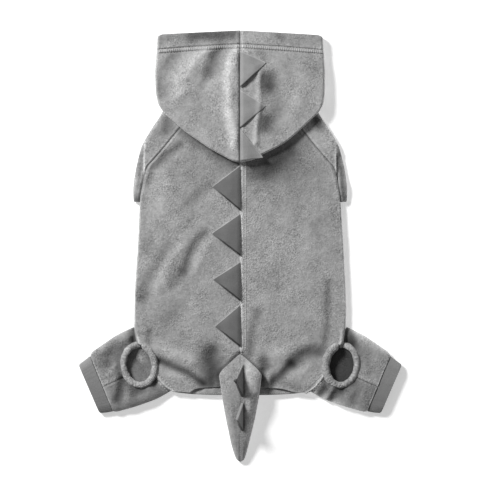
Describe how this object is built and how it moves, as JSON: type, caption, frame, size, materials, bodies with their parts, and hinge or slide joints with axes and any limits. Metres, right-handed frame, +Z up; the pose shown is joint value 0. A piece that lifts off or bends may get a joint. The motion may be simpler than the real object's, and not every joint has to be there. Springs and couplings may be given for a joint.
{
  "type": "dinosaur dog costume",
  "caption": "One-piece fleece dinosaur costume for a small dog, with hood, legs, stuffed tail and felt spikes, laid flat back up.",
  "frame": {"origin": "on the surface that the garment lies on, under the centre of its outline", "axes": "+Y from the tail to the hood, +X to the picture's right, +Z up out of the surface"},
  "size_m": [0.3332, 0.4442, 0.0476],
  "materials": {
    "body_fleece": "short-pile fleece, neutral mid grey, matt and mottled",
    "hood_fleece": "the same fleece, lighter where it catches the light",
    "binding_fleece": "fleece binding rolled round the opening's edge",
    "tail_fleece": "fleece, stuffed",
    "rib_knit": "fine rib knit, darker grey, smooth",
    "back_felt": "smooth brushed cloth, dark grey",
    "hood_felt": "smooth brushed cloth, mid grey"
  },
  "bodies": {
    "root": {"belly": "body_fleece", "centre_seam_strip": "body_fleece", "back_left": "body_fleece", "back_right": "body_fleece", "sleeve_left": "body_fleece", "sleeve_right": "body_fleece", "hind_leg_left_front": "body_fleece", "hind_leg_left_rear": "body_fleece", "hind_leg_right_front": "body_fleece", "hind_leg_right_rear": "body_fleece", "hood_left": "hood_fleece", "hood_right": "hood_fleece", "ring_left": "binding_fleece", "ring_right": "binding_fleece", "tail_left": "tail_fleece", "tail_right": "tail_fleece", "cuff_left": "rib_knit", "cuff_right": "rib_knit", "back_spike_1": "back_felt", "back_spike_2": "back_felt", "back_spike_3": "back_felt", "back_spike_4": "back_felt", "tail_spike_1": "back_felt", "tail_spike_2": "back_felt", "hood_spike_1": "hood_felt", "hood_spike_2": "hood_felt", "hood_spike_3": "hood_felt"}
  },
  "joints": []
}
